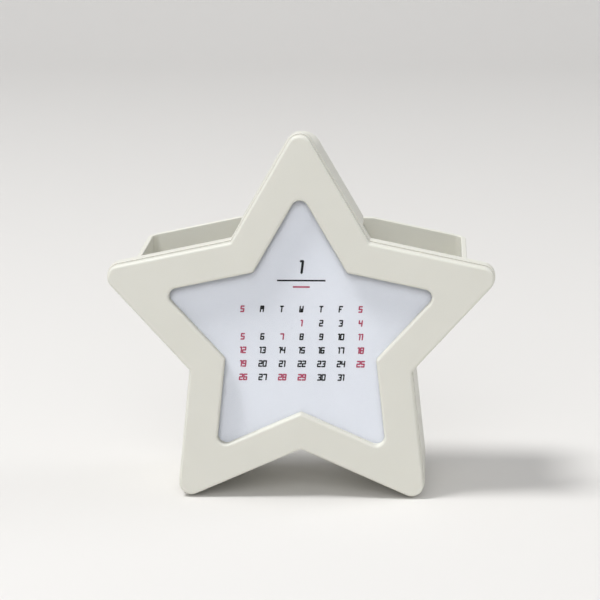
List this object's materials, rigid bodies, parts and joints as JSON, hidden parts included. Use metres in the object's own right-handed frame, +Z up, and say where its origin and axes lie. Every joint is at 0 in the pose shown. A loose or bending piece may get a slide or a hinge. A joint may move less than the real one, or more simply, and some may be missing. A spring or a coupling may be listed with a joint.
{
  "type": "desk calendar",
  "caption": "Star-shaped desk calendar: a pull-off star bezel holds the month card in front of an open-topped pen and note holder with a small rear drawer.",
  "frame": {"origin": "middle of the object's box, at table height under the foot pads", "axes": "+Z up; the calendar's face looks towards -Y and the drawer opens towards +Y; +X is the viewer's right"},
  "size_m": [0.1602, 0.058, 0.1536],
  "materials": {
    "ivory_abs": "fine satin moulding, warm light grey ivory",
    "clear_sheet": "clear polished sheet",
    "card_stock": "smooth coated card, cool white",
    "nickel_magnet": "nickel plated",
    "steel_screw": "zinc plated",
    "white_acetal": "smooth acetal",
    "foot_rubber": "matt rubber"
  },
  "bodies": {
    "stand": {"star_plate": "ivory_abs", "plate_magnets": "nickel_magnet", "arm_back_cover": "ivory_abs", "arm_cover_screw": "steel_screw", "rear_body": "ivory_abs", "body_screws": "steel_screw", "compartment_floor": "ivory_abs", "left_divider": "ivory_abs", "right_divider": "ivory_abs", "drawer_rail_left": "white_acetal", "drawer_rail_right": "white_acetal", "drawer_stop": "white_acetal", "foot_pad_front_left": "foot_rubber", "foot_pad_front_right": "foot_rubber", "foot_pad_rear_left": "foot_rubber", "foot_pad_rear_right": "foot_rubber"},
    "bezel": {"front_bezel": "ivory_abs", "window_sheet": "clear_sheet", "bezel_magnets": "nickel_magnet"},
    "card_pack": {"month_card": "card_stock", "spare_month_cards": "card_stock"},
    "drawer": {"drawer_box": "ivory_abs", "drawer_front": "ivory_abs"}
  },
  "joints": [
    {"name": "bezel_pull", "type": "slide", "parent": "stand", "child": "bezel", "axis": [0, -1, 0], "range_m": [0, 0.03]},
    {"name": "card_pack_lift", "type": "slide", "parent": "stand", "child": "card_pack", "axis": [0, -1, 0], "range_m": [0, 0.015]},
    {"name": "drawer_slide", "type": "slide", "parent": "stand", "child": "drawer", "axis": [0, 1, 0], "range_m": [0, 0.032]}
  ],
  "couplings": [
    {"joint": "card_pack_lift", "follows": "bezel_pull", "ratio": 0.5}
  ]
}
